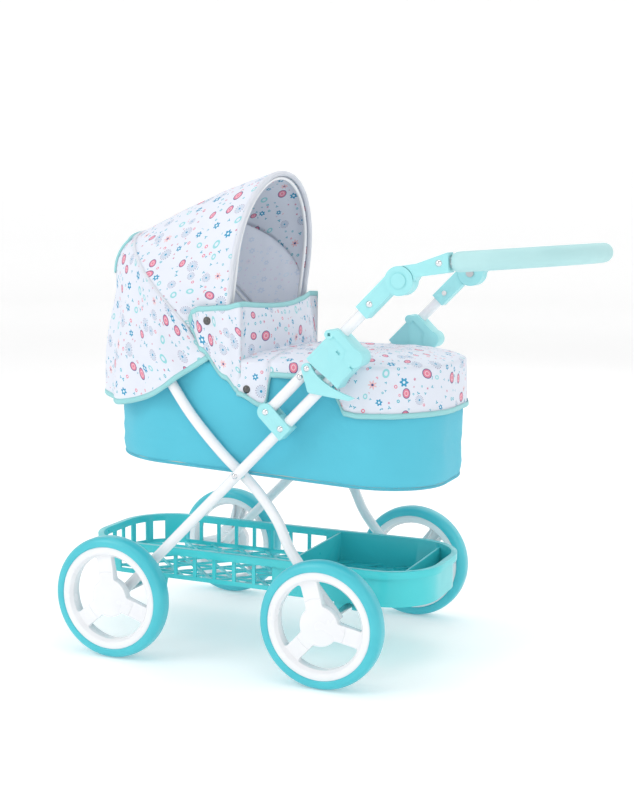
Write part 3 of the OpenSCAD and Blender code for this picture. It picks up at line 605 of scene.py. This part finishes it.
weave_group.links.new(mixed(weave_group, thread_share, weave_in.outputs["Color"], darker.outputs["Color"]),
                      weave_out.inputs["Color"])
weave_group.links.new(step(weave_group, "MULTIPLY_ADD", crossing, -0.08, 0.72), weave_out.inputs["Roughness"])
weave_group.links.new(crease_bump.outputs["Normal"], weave_out.inputs["Normal"])


def cloth(name, color, thread=0.0007, depth=0.00012, **sockets):
    """Woven cloth material on the piece's own map, in metres."""
    material = shader(name, color, 0.75, **sockets)
    tree = material.node_tree
    group = tree.nodes.new("ShaderNodeGroup")
    group.node_tree = weave_group
    place = tree.nodes.new("ShaderNodeUVMap")
    tree.links.new(place.outputs["UV"], group.inputs["Map"])
    group.inputs["Color"].default_value = (*color, 1)
    group.inputs["Thread"].default_value = thread
    group.inputs["Depth"].default_value = depth
    main = tree.nodes["Principled BSDF"]
    for socket in ("Color", "Roughness", "Normal"):
        tree.links.new(group.outputs[socket], main.inputs["Base Color" if socket == "Color" else socket])
    return material


def sheet_mesh(name, rows, closed=False, turned=False):
    """Cloth through rows of points, mapped in metres along its rows and down its columns."""
    across = len(rows[0])
    verts = [p for row in rows for p in row]
    faces = []
    for j in range(len(rows) - 1):
        for i in range(across if closed else across - 1):
            a, b = j * across + i, j * across + (i + 1) % across
            face = (a, b, b + across, a + across)
            faces.append(tuple(reversed(face)) if turned else face)
    mesh = bpy.data.meshes.new(name)
    mesh.from_pydata(verts, [], faces)
    obj = bpy.data.objects.new(name, mesh)
    bpy.context.collection.objects.link(obj)
    run = [0.0]
    longest = max(rows, key=lambda row: sum((b - a).length for a, b in zip(row, row[1:])))
    for a, b in zip(longest, longest[1:] + longest[:1]):
        run.append(run[-1] + (b - a).length)
    fall = [[0.0] * across]
    for upper, lower in zip(rows, rows[1:]):
        fall.append([f + (b - a).length for f, a, b in zip(fall[-1], upper, lower)])
    layer = mesh.uv_layers.new(name="cloth")
    for face in mesh.polygons:
        columns = [mesh.loops[i].vertex_index % across for i in face.loop_indices]
        for i, column in zip(face.loop_indices, columns):
            row = mesh.loops[i].vertex_index // across
            wrapped = closed and column == 0 and max(columns) == across - 1
            layer.data[i].uv = (run[across] if wrapped else run[column], fall[row][column])
    return obj


def thickened(obj, thickness, offset=-1.0, inner=None):
    """Gives cloth its thickness; the inner face may be another material."""
    modifier = obj.modifiers.new("cloth", "SOLIDIFY")
    modifier.thickness = thickness
    modifier.offset = offset
    if inner:
        obj.data.materials.append(inner)
        modifier.material_offset = 1
    apply_modifiers(obj)
    bpy.ops.object.shade_smooth()
    return obj


def oval(x0, x1, half, corner, count):
    """Points round a rounded rectangle in plan, evenly spaced, with their outward directions."""
    corner_turn = math.pi / 2 * corner
    sides = [("y", x1 - x0 - 2 * corner), ("x", 2 * (half - corner))]
    whole = 2 * sum(length for _, length in sides) + 4 * corner_turn
    centres = [(x1 - corner, half - corner), (x0 + corner, half - corner),
               (x0 + corner, corner - half), (x1 - corner, corner - half)]
    points = []
    for k in range(count):
        left = whole * k / count
        for q in range(4):
            cx, cy = centres[q]
            if left <= corner_turn:
                turn = math.pi / 2 * q + left / corner
                out = Vector((math.cos(turn), math.sin(turn), 0))
                points.append((Vector((cx, cy, 0)) + corner * out, out))
                break
            left -= corner_turn
            length = sides[q % 2][1]
            if left <= length:
                out = Vector((math.cos(math.pi / 2 * (q + 1)), math.sin(math.pi / 2 * (q + 1)), 0))
                go = Vector((-out.y, out.x, 0))
                points.append((Vector((cx, cy, 0)) + corner * out + left * go, out))
                break
            left -= length
    return points


def ripple(place, size, seed):
    """Smooth random value from about -1 to 1, the same each run."""
    return noise.noise(Vector(place) / size + Vector((seed, 0, 0)))


def cot_bottom(x):
    return 0.2545 - (x + 0.074) * math.tan(math.radians(2.3))


cot_low, cot_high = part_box("cot_shell")
cot_round = oval(cot_low.x, cot_high.x, cot_high.y, 0.1, 260)
cot_top = cot_high.z - 0.0004
cot_rows = []
for j in range(27):
    up = j / 26
    row = []
    for place, out in cot_round:
        low = cot_bottom(place.x)
        z = low + (cot_top - low) * up
        slack = math.sin(math.pi * min(1, up * 1.02)) ** 0.8
        fold = 0.0028 * ripple((place.x * 1.3, place.y * 1.3, z * 0.9), 0.055, 3)
        fold += 0.0016 * ripple((place.x + z * 0.8, place.y, z * 2.2), 0.021, 9)
        drawn_in = 0.004 * (1 - min(1, up / 0.12)) ** 2
        slack *= min(1.0, max(0.0, (0.336 - z) / 0.03))
        row.append(Vector((place.x, place.y, z)) + out * (slack * (fold - 0.0012) - drawn_in))
    cot_rows.append(row)
middle = Vector(((cot_low.x + cot_high.x) / 2, 0, 0))
floor_rows = []
for j in range(9):
    share = 1 - (1 - j / 9) ** 1.2
    row = []
    for point in cot_rows[0]:
        inwards = Vector((middle.x + (point.x - middle.x) * share, point.y * share, 0))
        inwards.z = cot_bottom(inwards.x) - 0.0012 * math.sin(math.pi * share)
        row.append(inwards)
    floor_rows.append(row)
cot = sheet_mesh("cot_tub", floor_rows + cot_rows, closed=True)
edit(cot)
bpy.ops.mesh.remove_doubles(threshold=0.0002)
bpy.ops.mesh.normals_make_consistent(inside=False)
bpy.ops.object.mode_set(mode="OBJECT")
cot_cloth = cloth("turquoise_polyester", (0.10, 0.555, 0.71), 0.0008, 0.0001, Sheen_Weight=0.12,
                  Specular_IOR_Level=0.35)
give(cot, cot_cloth)
thickened(cot, 0.0014)
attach(cot, "chassis")
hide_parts("cot_shell")

piping = tube("cot_piping", [p + Vector((0, 0, 0.0006)) for p in cot_rows[0] + cot_rows[0][:1]], 0.0021)
give(piping, cot_cloth)
wrap_map(piping, [p + Vector((0, 0, 0.0006)) for p in cot_rows[0]], 0.0021)
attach(piping, "chassis")
board = moulded("cot_board_fibre", (0.60, 0.55, 0.44), (0.52, 0.47, 0.37), 0.8, 400, 0.0001)
finish_nodes(board, "cot_board")


# ---- Printed cloth ----
# Pale lilac-white polyester with a scattered print: pink ovals with a navy rim, aqua rings,
# dandelion clocks, blue and pink flowers, and tiny sprigs between them. The hood, its curtain,
# the flap and the apron are all cut from it, and the hood shows its paler reverse inside: faded print with a
# faint painted glow.
print_base = (0.775, 0.81, 0.90)
motifs, motif_in, motif_out = node_group("scattered_print", (("Map", "Vector", None),), (("Color", "Color"),))


def scattered(spacing, looseness):
    """Distance, turned angle and three random numbers of the motif that lies nearest."""
    cells = motifs.nodes.new("ShaderNodeTexVoronoi")
    cells.voronoi_dimensions = "2D"
    cells.inputs["Scale"].default_value = 1 / spacing
    cells.inputs["Randomness"].default_value = looseness
    motifs.links.new(motif_in.outputs["Map"], cells.inputs["Vector"])
    away = motifs.nodes.new("ShaderNodeVectorMath")
    away.operation = "SUBTRACT"
    motifs.links.new(motif_in.outputs["Map"], away.inputs[0])
    motifs.links.new(cells.outputs["Position"], away.inputs[1])
    chance = motifs.nodes.new("ShaderNodeSeparateColor")
    motifs.links.new(cells.outputs["Color"], chance.inputs["Color"])
    place = motifs.nodes.new("ShaderNodeSeparateXYZ")
    motifs.links.new(away.outputs["Vector"], place.inputs["Vector"])
    x, y = place.outputs["X"], place.outputs["Y"]
    distance = step(motifs, "SQRT", step(motifs, "ADD", step(motifs, "MULTIPLY", x, x),
                                         step(motifs, "MULTIPLY", y, y)))
    size = step(motifs, "MULTIPLY_ADD", chance.outputs["Blue"], 0.55, 0.72)
    turn = step(motifs, "MULTIPLY_ADD", chance.outputs["Red"], 6.283, step(motifs, "ARCTAN2", y, x))
    return step(motifs, "DIVIDE", distance, size), turn, chance


def within(value, low, high):
    return step(motifs, "MULTIPLY", step(motifs, "GREATER_THAN", value, low),
                step(motifs, "LESS_THAN", value, high))


def petals(distance, turn, count, mean, wave):
    """Mask of a flower whose edge waves round its middle."""
    edge = step(motifs, "MULTIPLY_ADD", step(motifs, "COSINE", step(motifs, "MULTIPLY", turn, count)),
                wave, mean)
    return step(motifs, "LESS_THAN", distance, edge)


def both_of(first, second):
    return step(motifs, "MULTIPLY", first, second)


navy, pink, pale_pink = (0.075, 0.10, 0.27), (0.78, 0.22, 0.32), (0.90, 0.62, 0.70)
ring_aqua, flower_blue, dusk = (0.30, 0.68, 0.73), (0.03, 0.33, 0.56), (0.36, 0.33, 0.47)
coral = (0.86, 0.50, 0.52)
far_off, turned, chance = scattered(0.0265, 0.75)
kind = chance.outputs["Green"]
squeeze = step(motifs, "MULTIPLY_ADD", step(motifs, "COSINE", step(motifs, "MULTIPLY", turned, 2)), 0.13, 1.0)
oval_size = both_of(far_off, squeeze)
is_oval, is_ring = within(kind, 0.0, 0.14), within(kind, 0.14, 0.36)
is_clock, is_flower, is_star = within(kind, 0.36, 0.60), within(kind, 0.60, 0.82), within(kind, 0.82, 1.1)
rays = step(motifs, "GREATER_THAN", step(motifs, "SINE", step(motifs, "MULTIPLY", turned, 15)), 0.1)
color = mixed(motifs, both_of(is_oval, within(oval_size, -1, 0.0063)), print_base, navy)
for mask, ink in (
    (both_of(is_oval, within(oval_size, -1, 0.0053)), pink),
    (both_of(is_oval, within(oval_size, 0.0022, 0.0031)), pale_pink),
    (both_of(is_ring, within(oval_size, 0.0022, 0.0044)), ring_aqua),
    (both_of(is_clock, within(far_off, -1, 0.0060)), (0.66, 0.72, 0.83)),
    (both_of(both_of(is_clock, rays), within(far_off, 0.0026, 0.0056)), (0.50, 0.60, 0.72)),
    (both_of(both_of(is_clock, rays), within(far_off, 0.0060, 0.0072)), dusk),
    (both_of(is_clock, within(far_off, -1, 0.0016)), flower_blue),
    (both_of(is_flower, petals(far_off, turned, 6, 0.0042, 0.0010)), flower_blue),
    (both_of(is_flower, within(far_off, -1, 0.0015)), (0.80, 0.88, 0.93)),
    (both_of(is_star, petals(far_off, turned, 7, 0.0038, 0.0016)), coral),
    (both_of(is_star, within(far_off, -1, 0.0015)), navy),
):
    color = mixed(motifs, mask, color, ink)
open_ground = step(motifs, "GREATER_THAN", far_off, 0.0088)
small_off, small_turned, small_chance = scattered(0.0105, 0.9)
small_kind = small_chance.outputs["Green"]
for low, high, mask, ink in (
    (0.0, 0.22, petals(small_off, small_turned, 3, 0.0013, 0.0009), (0.05, 0.42, 0.58)),
    (0.22, 0.38, within(small_off, 0.0008, 0.0019), (0.10, 0.50, 0.62)),
    (0.38, 0.52, petals(small_off, small_turned, 5, 0.0012, 0.0005), (0.62, 0.20, 0.33)),
    (0.52, 0.60, within(small_off, 0.0010, 0.0021), pink),
):
    color = mixed(motifs, both_of(open_ground, both_of(within(small_kind, low, high), mask)), color, ink)
motifs.links.new(color, motif_out.inputs["Color"])


def printed(name, fade):
    """Woven cloth with the print on it, faded towards the plain ground on its reverse."""
    material = cloth(name, print_base, 0.0006, 0.00008, Sheen_Weight=0.1)
    tree = material.node_tree
    pattern = tree.nodes.new("ShaderNodeGroup")
    pattern.node_tree = motifs
    place = tree.nodes.new("ShaderNodeUVMap")
    tree.links.new(place.outputs["UV"], pattern.inputs["Map"])
    weave = next(n for n in tree.nodes if n.type == "GROUP" and n.node_tree == weave_group)
    faded = mixed(tree, fade, pattern.outputs["Color"], print_base)
    tree.links.new(faded, weave.inputs["Color"])
    return material


print_cloth = printed("printed_cloth", 0.0)
print_reverse = printed("printed_cloth_reverse", 0.8)
# painted light: the reverse glows faintly in its own ground colour, so the shaded inside of the hood, curtain
# and apron reads bright
painted_glow = print_reverse.node_tree.nodes["Principled BSDF"]
painted_glow.inputs["Emission Color"].default_value = (*print_base, 1)
painted_glow.inputs["Emission Strength"].default_value = 0.16
plain_white = cloth("white_hem_cloth", (0.80, 0.83, 0.90), 0.0006, 0.00008, Sheen_Weight=0.1)
binding_cloth = cloth("aqua_binding", (0.34, 0.71, 0.735), 0.0011, 0.00022, Sheen_Weight=0.15)


# ---- Hood ----
# One piece of printed cloth stretched between two bows: a white hem holds the front bow, a white
# piped seam lies over the rear bow, and a printed facing lines the mouth behind the front bow.
hood_pivot = Vector((-0.121, 0, 0.393))


def resampled(points, count):
    """The same line with evenly spaced points."""
    lengths = [0.0]
    for a, b in zip(points, points[1:]):
        lengths.append(lengths[-1] + (b - a).length)
    line, k = [], 0
    for i in range(count):
        want = lengths[-1] * i / (count - 1)
        while k < len(points) - 2 and lengths[k + 1] < want:
            k += 1
        share = (want - lengths[k]) / max(lengths[k + 1] - lengths[k], 1e-9)
        line.append(points[k].lerp(points[k + 1], min(1, share)))
    return line


def arch(angle, half, height, low, count):
    """Bow line from its left foot over the top to its right foot, in the bow's plane."""
    bow_way = Vector((math.cos(math.radians(angle)), 0, math.sin(math.radians(angle))))
    straight = 0.125
    line = []
    for k in range(12):
        line.append((-half, low + (straight - low) * k / 12))
    for k in range(81):
        turn = math.pi * k / 80
        line.append((-half * math.copysign(abs(math.cos(turn)) ** 0.94, math.cos(turn)),
                     straight + (height - straight) * math.sin(turn) ** 0.94))
    for k in range(1, 13):
        line.append((half, straight - (straight - low) * k / 12))
    return resampled([hood_pivot + bow_way * h + Vector((0, y, 0)) for y, h in line], count)


hood_columns = 121
hood_depth = 30


def canopy_point(front, rear, f, column):
    """Place on the hood's cloth, a share f of the way from the front bow to the rear bow."""
    place = front.lerp(rear, f)
    over = math.sin(math.pi * column / (hood_columns - 1)) ** 2
    outwards = Vector((0, place.y, (place.z - 0.50) * over)).normalized()
    swell = 4 * f * (1 - f) * (0.0052 * over - 0.0032 * (1 - over))
    tuck = 0.0011 * ripple((place.x * 2.2, place.y * 0.7, place.z * 0.7), 0.030, 21) * math.sin(math.pi * f)
    return place + outwards * (swell + tuck)


canopy_rows = []
for j in range(hood_depth + 1):
    f = j / hood_depth
    foot = 0.030 + 0.042 * f
    front = arch(82.6, 0.1243, 0.2598, foot, hood_columns)
    rear = arch(134.6, 0.1182, 0.2452, foot, hood_columns)
    canopy_rows.append([canopy_point(a, b, f, i) for i, (a, b) in enumerate(zip(front, rear))])
canopy = sheet_mesh("hood_cloth", canopy_rows)
give(canopy, print_cloth)
thickened(canopy, 0.0011, 1.0, print_reverse)
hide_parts("hood_canopy")
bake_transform(canopy)

facing_rows = []
for j in range(9):
    row = []
    for i in range(8, hood_columns - 8):
        outer = canopy_rows[0][i]
        height = (outer.z - hood_pivot.z) / math.sin(math.radians(82.6))
        reach = 0.56 * min(1, max(0.02, (height - 0.100) / 0.130)) * j / 8
        row_at = reach * hood_depth
        low_row = int(row_at)
        place = canopy_rows[low_row][i].lerp(canopy_rows[min(low_row + 1, hood_depth)][i], row_at - low_row)
        inwards = (hood_pivot + Vector((-0.05, 0, 0.11)) - place).normalized()
        row.append(place + inwards * 0.0034)
    facing_rows.append(row)
facing = sheet_mesh("hood_facing", facing_rows)
give(facing, print_cloth)
thickened(facing, 0.0008, 0.0)
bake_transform(facing)

hem = tube("hood_front_hem", [p + Vector((0.001, 0, 0)) - (p - hood_pivot).normalized() * 0.0024
                              for p in canopy_rows[0]], 0.0036, round_end)
wrap_map(hem, canopy_rows[0], 0.0036)
give(hem, plain_white)
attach(hem, "hood_front")
seam = tube("hood_seam_piping", [p + (p - hood_pivot).normalized() * 0.0012 for p in canopy_rows[-1]],
            0.0021, round_end)
wrap_map(seam, canopy_rows[-1], 0.0021)
give(seam, plain_white)
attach(seam, "chassis")


def tape(name, edge, inside, body, width=0.0062, bulk=1.0):
    """Folded binding sewn over a cloth's edge; inside is the row of points next to the edge."""
    rows = [[] for _ in range(7)]
    for i, (e, near) in enumerate(zip(edge, inside)):
        go = (edge[min(i + 1, len(edge) - 1)] - edge[max(i - 1, 0)]).normalized()
        inwards = (near - e).normalized()
        out = go.cross(inwards).normalized()
        for row, (deep, proud) in zip(rows, ((1.0, 0.0011), (0.5, 0.0017), (0.1, 0.0016), (-0.2, 0.0),
                                             (0.1, -0.0016), (0.5, -0.0017), (1.0, -0.0011))):
            row.append(e + inwards * width * deep + out * proud * bulk)
    obj = sheet_mesh(name, rows)
    give(obj, binding_cloth)
    thickened(obj, 0.0006, 0.0)
    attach(obj, body)
    return obj


# ---- Curtain ----
# The hood's cloth goes on behind the rear bow as a loose curtain: it rounds the head end of the
# cot, hangs in soft folds over its rim and ends in an aqua binding. A small window is let in.
curtain_left = [(-0.1360, -0.1262, 0.4040), (-0.1600, -0.1310, 0.3880), (-0.1850, -0.1400, 0.3700),
                (-0.2110, -0.1425, 0.3530), (-0.2610, -0.1330, 0.3385), (-0.3000, -0.1040, 0.3400),
                (-0.3270, -0.0580, 0.3450)]
curtain_knots = curtain_left + [(-0.3345, 0, 0.3480)] + [(x, -y, z) for x, y, z in reversed(curtain_left)]
curtain_edge = resampled(smooth_line(curtain_knots), hood_columns)
leg_top_x, leg_top_z, leg_lean = -0.209, 0.397, 0.745
outside_leg_y = 0.1420
tent_half_width, tent_top_z, tent_fade = 0.030, 0.430, 0.026
curtain_rows = []
curtain_depth = 34
for j in range(curtain_depth + 1):
    k = j / curtain_depth
    row = []
    for i, (start, stop) in enumerate(zip(canopy_rows[-1], curtain_edge)):
        t = 2 * i / (hood_columns - 1) - 1
        end_share = max(0.0, 1 - (t / 0.55) ** 2)
        out_share = k * (1 - end_share) + end_share * (1 - (1 - k) ** 3.2)
        down_share = k * (1 - end_share) + end_share * k ** 1.9
        place = Vector((start.x + (stop.x - start.x) * out_share, start.y + (stop.y - start.y) * out_share,
                        start.z + (stop.z - start.z) * down_share))
        outwards = Vector((place.x + 0.20, place.y * 1.2, 0)).normalized()
        free = k * (1 - 0.55 * max(0.0, abs(t) - 0.75) / 0.25)
        folds = 0.0042 * free * math.sin(26 * t + 2.2 * k) + 0.0030 * free * ripple(place, 0.05, 31)
        pinch = -0.009 * math.exp(-((k - 0.55) / 0.16) ** 2) * end_share
        if abs(t) > 0.86:
            folds *= (1 - abs(t)) / 0.14
        place += outwards * (folds + pinch)
        leg_x = leg_top_x + (leg_top_z - place.z) * leg_lean
        over_leg = min(1, 1.3 * math.exp(-((place.x - leg_x) / tent_half_width) ** 2))
        over_leg *= min(1, max(0, (tent_top_z - place.z) / tent_fade))
        clear_of_leg = max(abs(place.y), outside_leg_y)
        place.y = math.copysign(abs(place.y) + (clear_of_leg - abs(place.y)) * over_leg, place.y)
        row.append(place)
    curtain_rows.append(row)
curtain = sheet_mesh("hood_curtain_cloth", curtain_rows)
give(curtain, print_cloth)
thickened(curtain, 0.0011, 1.0, print_reverse)
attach(curtain, "chassis")
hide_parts("hood_curtain")
tape("curtain_binding", curtain_rows[-1], curtain_rows[-2], "chassis")

window_net = moulded("window_net", (0.56, 0.66, 0.76), (0.50, 0.61, 0.72), 0.6, 1800, 0.0002)
window_rows = [[p + Vector((p.x + 0.20, p.y * 0.6, 0.02)).normalized() * 0.0024 for p in row[46:75]]
               for row in curtain_rows[2:15]]
window_patch = sheet_mesh("rear_window", window_rows)
give(window_patch, window_net)
thickened(window_patch, 0.0006, 0.0)
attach(window_patch, "chassis")
tape("window_binding_top", window_rows[0], window_rows[1], "chassis", 0.0055)
tape("window_binding_low", window_rows[-1], window_rows[-2], "chassis", 0.0055)
tape("window_binding_left", [row[0] for row in window_rows], [row[1] for row in window_rows],
     "chassis", 0.0055)
tape("window_binding_right", [row[-1] for row in window_rows], [row[-2] for row in window_rows],
     "chassis", 0.0055)


# ---- Apron ----
# A printed cover, slightly puffed over the foot end of the cot, with a skirt that hangs over the
# rim, is cut away where the frame tubes pass, and ends in an aqua binding.
apron_low, apron_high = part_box("apron")
apron_front = apron_low.x
apron_half = apron_high.y - 0.0004
apron_end = apron_high.x - 0.0004
apron_corner = 0.1034
apron_path = [Vector((apron_front + (apron_end - apron_corner - apron_front) * k / 40, -apron_half, 0))
              for k in range(40)]
for side_way, first_turn in ((-1, -90), (1, 0)):
    for k in range(31):
        turn = math.radians(first_turn + 3 * k)
        apron_path.append(Vector((apron_end - apron_corner + apron_corner * math.cos(turn),
                                  side_way * (apron_half - apron_corner) + apron_corner * math.sin(turn), 0)))
apron_path += [Vector((p.x, -p.y, 0)) for p in reversed(apron_path[:40])]
apron_path = resampled(apron_path, 241)


def between(x, knots):
    """Height at x on the straight stretches between (x, height) knots, rounded a little."""
    for (x0, z0), (x1, z1) in zip(knots, knots[1:]):
        if x <= x1:
            t = min(1.0, max(0.0, (x - x0) / (x1 - x0)))
            return z0 + (z1 - z0) * t * t * (3 - 2 * t)
    return knots[-1][1]


skirt_knots = [(-0.094, 0.3590), (-0.056, 0.3450), (-0.053, 0.3470), (-0.045, 0.3860), (0.043, 0.3860),
               (0.047, 0.3600), (0.058, 0.3425), (0.075, 0.3400), (0.170, 0.3410)]
apron_rows = []
for j in range(33):
    row = []
    for rim in apron_path:
        out = Vector((max(0.0, rim.x - (apron_end - apron_corner)), rim.y, 0)).normalized()
        spine = Vector((min(rim.x, apron_end - apron_corner - 0.006), 0, 0))
        if j <= 20:
            s = (j / 20) ** 0.8
            place = spine.lerp(rim, s)
            crown = 0.0135 * (1 - s ** 3.2)
            wrinkle = 0.0022 * ripple((place.x, place.y * 1.6, 0.3), 0.045, 41) * (1 - s ** 6)
            wrinkle += 0.0012 * ripple((place.x * 1.8, place.y, 0.3), 0.018, 45) * (1 - s ** 4)
            edge = 0.0008 * max(0.0, (s - 0.93) / 0.07) ** 5
            front_dip = 0.006 * max(0.0, 1 - (place.x - apron_front) / 0.05)
            place.z = 0.4045 + crown + wrinkle - edge - front_dip * (1 - s ** 3)
        else:
            k = (j - 20) / 12
            low = between(rim.x, skirt_knots)
            place = rim.copy()
            place.z = 0.4030 + (low - 0.4030) * k
            wave = 0.0016 * ripple((place.x * 1.4, place.y * 1.4, place.z * 0.6), 0.035, 51)
            free = 1 if rim.x > -0.04 else 0.3
            place += out * (k * (0.0022 + 2.0 * abs(wave)) * free)
        row.append(place)
    apron_rows.append(row)
apron = sheet_mesh("apron_cover", apron_rows, turned=True)
give(apron, print_cloth)
thickened(apron, 0.0012, -1.0, print_reverse)
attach(apron, "chassis")
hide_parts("apron")
tape("apron_binding", apron_rows[-1], apron_rows[-2], "chassis", 0.0058)


# ---- Flap ----
# The front of the apron stands up as a flap across the mouth of the hood. A wing at each end
# folds back along the side and snaps on; aqua binding runs all round.
wing_low = [(-0.165, 0.4530), (-0.161, 0.4400), (-0.148, 0.4140), (-0.112, 0.3790), (-0.093, 0.3620),
            (-0.089, 0.3590)]
wing_high = [(-0.165, 0.4590), (-0.161, 0.4670), (-0.150, 0.4715), (-0.112, 0.4740), (-0.089, 0.4790)]
flap_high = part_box("wind_flap")[1]
wing_y = flap_high.y - 0.0006
left_wing = []
for k in range(25):
    x = -0.165 + 0.076 * (k / 24) ** 1.3
    left_wing.append((Vector((x, -wing_y, between(x, wing_low))),
                      Vector((x, -wing_y, between(x, wing_high)))))
front_panel = []
for k in range(1, 40):
    t = k / 40
    y = -wing_y + 2 * wing_y * t
    round_corner = 0.010 * (1 - min(1, 14 * min(t, 1 - t))) ** 2
    low_x = -0.091 + 0.016 * math.sin(math.pi * t) - round_corner * 0.2
    high_x = -0.090 - 0.010 * t + 0.010 * math.sin(math.pi * t)
    high_z = 0.4800 - 0.0085 * math.sin(math.pi * t) + 0.003 * t
    front_panel.append((Vector((low_x, y, 0.4060 - 0.046 * (1 - min(1, 14 * min(t, 1 - t))) ** 3)),
                        Vector((high_x, y, high_z))))
right_wing = [(Vector((a.x, wing_y, a.z)), Vector((b.x, wing_y, b.z + 0.003)))
              for a, b in reversed(left_wing)]
flap_lines = left_wing + front_panel + right_wing
flap_rows = []
for j in range(17):
    row = []
    for i, (low, high) in enumerate(flap_lines):
        k = j / 16
        place = low.lerp(high, k)
        if 24 < i < 64:
            share = math.sin(math.pi * (i - 24) / 40)
            place.x += share * (0.006 * math.sin(math.pi * k) + 0.004 * ripple(place, 0.035, 61))
        else:
            place.y += math.copysign(0.0004, place.y) * ripple(place, 0.02, 63)
        row.append(place)
    flap_rows.append(row)
flap = sheet_mesh("wind_flap_cloth", flap_rows)
give(flap, print_cloth)
thickened(flap, 0.0012, 0.0)
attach(flap, "chassis")
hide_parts("wind_flap")
tape("flap_binding_top", flap_rows[-1], flap_rows[-2], "chassis", 0.0058, 0.5)
tape("flap_binding_left", flap_rows[0][:26], flap_rows[1][:26], "chassis", 0.0058, 0.5)
tape("flap_binding_right", flap_rows[0][-26:], flap_rows[1][-26:], "chassis", 0.0058, 0.5)
tape("flap_end_left", [row[0] for row in flap_rows], [row[1] for row in flap_rows], "chassis", 0.0058, 0.5)
tape("flap_end_right", [row[-1] for row in flap_rows], [row[-2] for row in flap_rows], "chassis", 0.0058, 0.5)


# ---- Basket ----
# One glossy turquoise moulding under the cot: an open ribbed basket with a lattice floor in
# front, a solid tray with a divider behind, and feet that clip over both axles.
basket_gloss = moulded("basket_turquoise", (0.06, 0.64, 0.68), (0.05, 0.60, 0.645), 0.3, 600, 0.00003,
                       Coat_Weight=0.2, Coat_Roughness=0.2)
basket = give(softened("basket", "basket_moulding", 0.0006, 2), basket_gloss)
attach(basket, "chassis")
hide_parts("basket")
